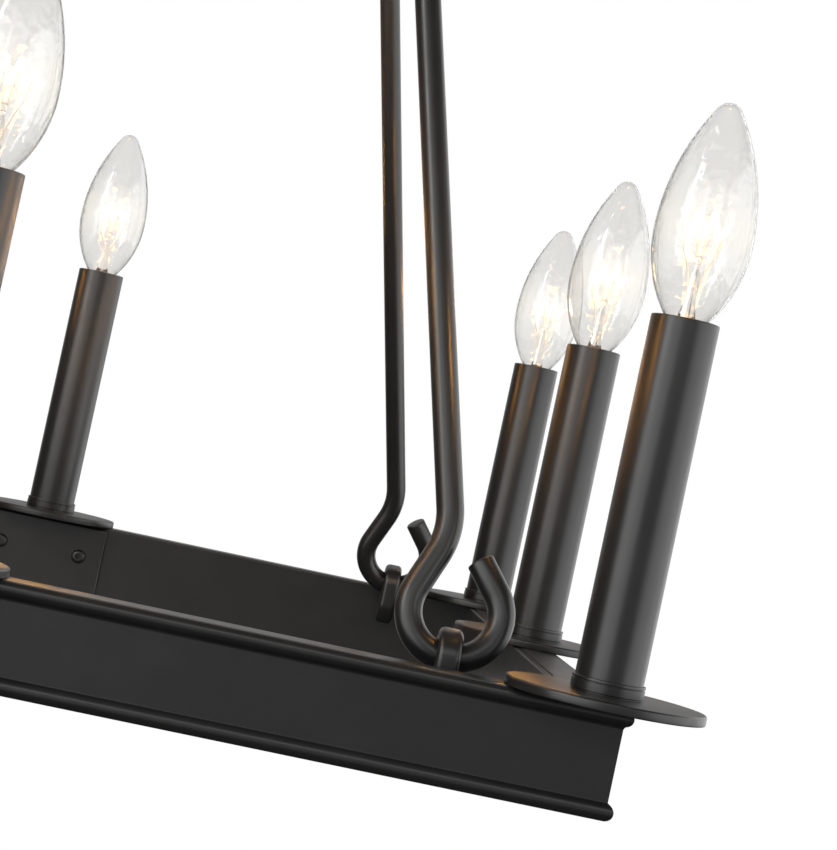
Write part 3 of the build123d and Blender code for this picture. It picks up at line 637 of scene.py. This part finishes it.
def globe_form():
    """The blown globe, drawn from its neck over the shoulder and the belly to its tip."""
    bm = bmesh.new()
    crown_x = bulb_radius - crown_radius
    rise = bulb_tip - bulb_belly
    tip_radius = (crown_radius**2 - crown_x**2 - rise**2) / (2 * (crown_radius - rise))
    crown_turn = asin((rise - tip_radius) / (crown_radius - tip_radius))
    shoulder_x = bulb_radius - foot_radius * (1 - cos(shoulder_turn))
    shoulder_z = bulb_belly - foot_radius * sin(shoulder_turn)
    flare_out, flare_up = shoulder_x - neck_radius, shoulder_z - neck_top
    flare_radius = (flare_out**2 + flare_up**2) / (2 * flare_out)
    flare_turn = asin(flare_up / flare_radius)
    point = step_point(bm, bm.verts.new((neck_radius, 0, neck_bottom)), (neck_radius, neck_top))
    point = sweep_point(bm, point, (neck_radius + flare_radius, neck_top), flare_turn, flare_steps)
    point.co = (shoulder_x, 0, shoulder_z)
    point = sweep_point(bm, point, (bulb_radius - foot_radius, bulb_belly), -shoulder_turn, foot_steps)
    point = sweep_point(bm, point, (crown_x, bulb_belly), -crown_turn, crown_steps)
    point = sweep_point(bm, point, (0, bulb_tip - tip_radius), crown_turn - pi / 2, tip_steps)
    point.co.x = 0
    turn_outline(bm, bulb_sides)
    inside = bm.verts.layers.float.new("inside")
    # A layer of painted glow, strongest at the filament's height, which the glass gives off as light
    painted_glow = bm.verts.layers.float.new("painted_glow")
    outer_wall = set(bm.verts)
    bmesh.ops.solidify(bm, geom=bm.faces[:], thickness=glass_wall)
    for vertex in bm.verts:
        vertex[inside] = vertex not in outer_wall
        vertex[painted_glow] = painted_glow_strength * exp(-(((vertex.co.z - painted_glow_middle) / painted_glow_reach) ** 2))
    return bm


def cap_form():
    """Screw cap with rolled threads and a contact."""
    bm = bmesh.new()
    pitch = (cap_top - cap_low) / cap_threads
    start = bm.verts.new((cap_radius - cap_wall, 0, cap_top))
    point = step_point(bm, start, (cap_radius, cap_top))
    for thread in range(cap_threads):
        z = cap_top - pitch * thread
        root = (cap_radius - cap_thread, z - pitch * 0.5)
        point = step_point(bm, point, (cap_radius, z - pitch * 0.2), root, (cap_radius, z - pitch * 0.8))
    point = step_point(
        bm,
        point,
        (cap_radius, cap_low),
        (contact_radius, cap_low - contact_drop / 2),
        (contact_radius, cap_low - contact_drop),
        (0, cap_low - contact_drop),
    )
    step_point(bm, start, (cap_radius - cap_wall, cap_low + cap_wall), (0, cap_low + cap_wall))
    turn_outline(bm, cap_sides)
    return bm


def stem_form():
    """Pressed stem with a flare in the neck, a waist and a button."""
    bm = bmesh.new()
    start = bm.verts.new((0, 0, stem_outline[0][1]))
    step_point(bm, start, *stem_outline, (0, stem_outline[-1][1]))
    turn_outline(bm, stem_sides)
    return bm


def bent_wire(route):
    """A round wire along a smooth route in the XZ plane."""
    curve = bpy.data.curves.new("wire", "CURVE")
    curve.dimensions = "3D"
    curve.bevel_depth = lead_radius
    curve.bevel_resolution = 2
    curve.use_fill_caps = True
    spline = curve.splines.new("NURBS")
    spline.points.add(len(route) - 1)
    for point, (x, z) in zip(spline.points, route):
        point.co = (x, 0, z, 1)
    spline.order_u = 3
    spline.use_endpoint_u = True
    holder = bpy.data.objects.new("wire", curve)
    mesh = bpy.data.meshes.new_from_object(holder)
    bm = bmesh.new()
    bm.from_mesh(mesh)
    bpy.data.objects.remove(holder)
    bpy.data.curves.remove(curve)
    bpy.data.meshes.remove(mesh)
    return bm


def wires_form():
    """The two leads and the two supports."""
    bm = bmesh.new()
    for side in (1, -1):
        for route in (lead_route, support_route):
            add_form(bm, bent_wire([(side * x, z) for x, z in route]))
    return bm


def filament_form():
    """A coil that zigzags from lead to lead over the supports."""
    bm = bmesh.new()
    steps = coil_turns * coil_turn_steps
    for start, end in zip(filament_posts, filament_posts[1:]):
        foot, head = Vector((start[0], 0, start[1])), Vector((end[0], 0, end[1]))
        way = (head - foot).normalized()
        aim = way.cross(Vector((0, 1, 0))).to_track_quat("Z", "Y").to_matrix().to_4x4()
        place = Matrix.Translation(foot + Vector((0, coil_radius, 0))) @ aim
        ring = bmesh.ops.create_circle(bm, segments=coil_wire_sides, radius=coil_wire, matrix=place)["verts"]
        edges = list({edge for point in ring for edge in point.link_edges})
        bmesh.ops.spin(
            bm,
            geom=ring + edges,
            cent=foot,
            axis=way,
            dvec=(head - foot) / steps,
            angle=2 * pi * coil_turns,
            steps=steps,
        )
    bmesh.ops.holes_fill(bm, edges=[edge for edge in bm.edges if edge.is_boundary])
    return bm


def hang_lamp(name, kind, place, energy):
    """A lamp that the camera doesn't see, and the object that holds it."""
    lamp = bpy.data.lights.new(name, kind)
    lamp.energy = energy
    holder = bpy.data.objects.new(name, lamp)
    holder.location = place
    holder.visible_camera = False
    bpy.context.scene.collection.objects.link(holder)
    return lamp, holder


for place, spot in zip(candle_places, candle_spots):
    body = f"bulb_{place}"
    rim = spot + Vector((0, 0, rim_z))
    forms = (
        (globe_form(), f"globe_{place}", blown_glass, "glass", f"bulb_glass_{place}"),
        (stem_form(), f"stem_{place}", pressed_glass, "glass", f"bulb_glass_{place}"),
        (cap_form(), f"cap_{place}", nickel, "nickel", f"bulb_metal_{place}"),
        (wires_form(), f"wires_{place}", nickel, "nickel", f"bulb_metal_{place}"),
        (filament_form(), f"filament_{place}", filament_glow, "nickel", f"bulb_metal_{place}"),
    )
    for form, name, material, slot, node in forms:
        bmesh.ops.translate(form, vec=rim, verts=form.verts[:])
        piece = make_piece(form, name, material, body, slot, node)
        if slot == "glass":
            piece.visible_shadow = False
    lamp, holder = hang_lamp(f"glow_{place}", "POINT", rim + Vector((0, 0, lamp_height)), lamp_energy)
    lamp.color = lamp_colour
    lamp.shadow_soft_size = lamp_radius
    holder.visible_transmission = False
    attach(holder, body)


# Studio
# A pale floor far below and a white surround, with soft boxes to the left, to the right, behind and over the
# camera. Grey and dark cards all round are what the black finish mirrors there.
ambient_strength = 0.4
studio_middle = Vector((0.1, 0, disc_top + 0.05))


def add_sight(tree):
    """One where the eye looks, straight on, through glass or in a reflection."""
    path = tree.nodes.new("ShaderNodeLightPath")
    seen = path.outputs["Is Camera Ray"]
    for kind in ("Is Transmission Ray", "Is Glossy Ray"):
        either = tree.nodes.new("ShaderNodeMath")
        either.operation = "MAXIMUM"
        tree.links.new(seen, either.inputs[0])
        tree.links.new(path.outputs[kind], either.inputs[1])
        seen = either.outputs[0]
    return seen


world = bpy.data.worlds.new("studio")
bpy.context.scene.world = world
world.use_nodes = True
sky = world.node_tree
sky_level = sky.nodes.new("ShaderNodeMapRange")
sky_level.inputs["To Min"].default_value = ambient_strength
sky_level.inputs["To Max"].default_value = 1.0
sky.links.new(add_sight(sky), sky_level.inputs["Value"])
surround = sky.nodes["Background"]
surround.inputs["Color"].default_value = (1, 1, 1, 1)
sky.links.new(sky_level.outputs["Result"], surround.inputs["Strength"])
bpy.context.scene.view_settings.view_transform = "Standard"


def soft_box(name, place, size, energy):
    """A large flat lamp turned to the middle of the frame."""
    lamp, holder = hang_lamp(name, "AREA", place, energy)
    lamp.shape = "RECTANGLE"
    lamp.size, lamp.size_y = size
    holder.rotation_euler = (studio_middle - Vector(place)).to_track_quat("-Z", "Y").to_euler()


soft_box("left_box", (-1.3, -1.7, disc_top + 0.45), (2.2, 1.9), 26)
soft_box("right_box", (2.07, -0.72, disc_top + 0.4), (2.9, 1.9), 24)
soft_box("front_box", (0.2, -2.3, disc_top + 1.15), (1.8, 0.7), 5.5)
soft_box("strip_box", (-1.5, -1.2, disc_top + 1.3), (0.30, 1.4), 11)
soft_box("rear_box", (2.0, 1.8, disc_top + 0.5), (2.2, 1.9), 13)


def card(name, middle, size, turn, brightness):
    """A matt card that only shows in the finish."""
    material, _, shader = new_material(name)
    shader.inputs["Base Color"].default_value = (0, 0, 0, 1)
    shader.inputs["Specular IOR Level"].default_value = 0
    shader.inputs["Emission Color"].default_value = (1, 1, 1, 1)
    shader.inputs["Emission Strength"].default_value = brightness
    bm = bmesh.new()
    bmesh.ops.create_grid(bm, x_segments=1, y_segments=1, size=0.5)
    bmesh.ops.scale(bm, vec=(*size, 1), verts=bm.verts[:])
    bmesh.ops.transform(bm, matrix=Matrix.Translation(middle) @ turn, verts=bm.verts[:])
    flag = show_mesh(bm, name, material)
    flag.visible_camera = False
    flag.visible_diffuse = False
    flag.visible_transmission = False
    flag.visible_shadow = False


flat = Matrix.Identity(4)
facing_front = Matrix.Rotation(pi / 2, 4, "X")
facing_side = Matrix.Rotation(pi / 2, 4, "Y")
card("front_card", (0.8, -3.2, disc_top + 0.5), (6.0, 3.6), facing_front, 0.42)
card("rear_card", (0.4, 3.2, disc_top + 0.5), (6.4, 3.6), facing_front, 0.42)
card("left_card", (-3.2, 1.2, disc_top + 0.3), (4.0, 5.0), facing_side, 0.10)
card("over_card", (0, -1.2, 0.5), (5.0, 3.6), flat, 0.12)
card("under_card", (0, 0, disc_top - 1.25), (6.4, 6.4), flat, 0.04)

floor_z = disc_top - 1.3
floor_radius = 3.0
floor_sides = 96
fade_start = 0.5
fade_end = 2.9
floor_tints = (0, (0.9, 0.9, 0.9, 1)), (1, (0, 0, 0, 1))

floor_material, floor_tree, floor_shader = new_material("pale_floor")
floor_shader.inputs["Roughness"].default_value = 0.9
floor_shader.inputs["Specular IOR Level"].default_value = 0
floor_shader.inputs["Emission Color"].default_value = (1, 1, 1, 1)
floor_place = floor_tree.nodes.new("ShaderNodeTexCoord")
from_middle = floor_tree.nodes.new("ShaderNodeVectorMath")
from_middle.operation = "LENGTH"
floor_tree.links.new(floor_place.outputs["Object"], from_middle.inputs[0])
fade = floor_tree.nodes.new("ShaderNodeMapRange")
fade.interpolation_type = "SMOOTHSTEP"
fade.inputs["From Min"].default_value = fade_start
fade.inputs["From Max"].default_value = fade_end
floor_tree.links.new(from_middle.outputs["Value"], fade.inputs["Value"])
faded = fade.outputs["Result"]
floor_tree.links.new(add_ramp(floor_tree, faded, *floor_tints), floor_shader.inputs["Base Color"])
floor_glow = multiply(floor_tree, faded, add_sight(floor_tree))
floor_tree.links.new(floor_glow, floor_shader.inputs["Emission Strength"])
bm = bmesh.new()
bmesh.ops.create_circle(bm, cap_ends=True, segments=floor_sides, radius=floor_radius)
floor = show_mesh(bm, "floor", floor_material)
floor.location.z = floor_z


# Camera
# It stands a little right of the middle, looks level along the rails, and is rolled as the photograph is.
photo_height = 850
focal_pixels = 2366.1
sensor = 36.0
camera_place = Vector((0.1171, -1.0468, disc_top + 0.0596))
yaw, pitch, roll = radians(3.038), radians(1.187), radians(12.117)
forward = Vector((sin(yaw) * cos(pitch), cos(yaw) * cos(pitch), sin(pitch)))
right = Vector((cos(yaw), -sin(yaw), 0))
down = forward.cross(right)
image_right = right * cos(roll) - down * sin(roll)
image_down = right * sin(roll) + down * cos(roll)
lens = bpy.data.cameras.new("camera")
lens.sensor_width = sensor
lens.lens = focal_pixels * sensor / photo_height
lens.clip_start = 0.01
camera = bpy.data.objects.new("camera", lens)
turn = Matrix((image_right, -image_down, -forward)).transposed().to_4x4()
camera.matrix_world = Matrix.Translation(camera_place) @ turn
bpy.context.scene.collection.objects.link(camera)
bpy.context.scene.camera = camera
